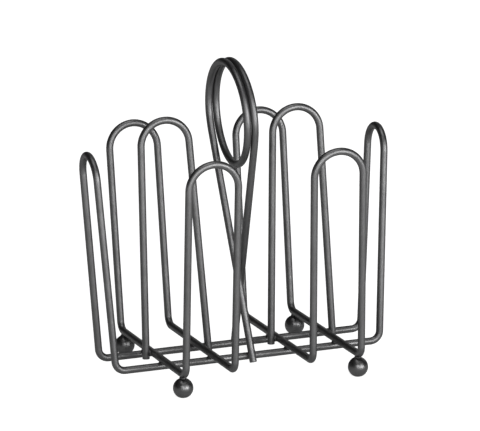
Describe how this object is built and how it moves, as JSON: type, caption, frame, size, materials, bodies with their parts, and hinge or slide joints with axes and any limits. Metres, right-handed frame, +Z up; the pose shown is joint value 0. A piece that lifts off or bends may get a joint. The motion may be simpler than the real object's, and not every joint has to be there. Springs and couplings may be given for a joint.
{
  "type": "jelly packet rack",
  "caption": "Bent wire rack whose hoops hold stacks of single-serve jelly packets, with a wound ring handle in the middle and ball feet.",
  "frame": {"origin": "on the table, in the middle between the four ball feet", "axes": "+Z up, +X to the right along the rails, -Y towards the front"},
  "size_m": [0.169, 0.1353, 0.1706],
  "materials": {
    "wire": "satin metal grey coating on round steel wire",
    "ball_feet": "satin metal grey coating on steel balls"
  },
  "bodies": {
    "root": {"base_loop": "wire", "left_cross_frame": "wire", "right_cross_frame": "wire", "left_divider_hoop": "wire", "right_divider_hoop": "wire", "ring_handle": "wire", "front_left_foot": "ball_feet", "front_right_foot": "ball_feet", "back_left_foot": "ball_feet", "back_right_foot": "ball_feet"}
  },
  "joints": []
}
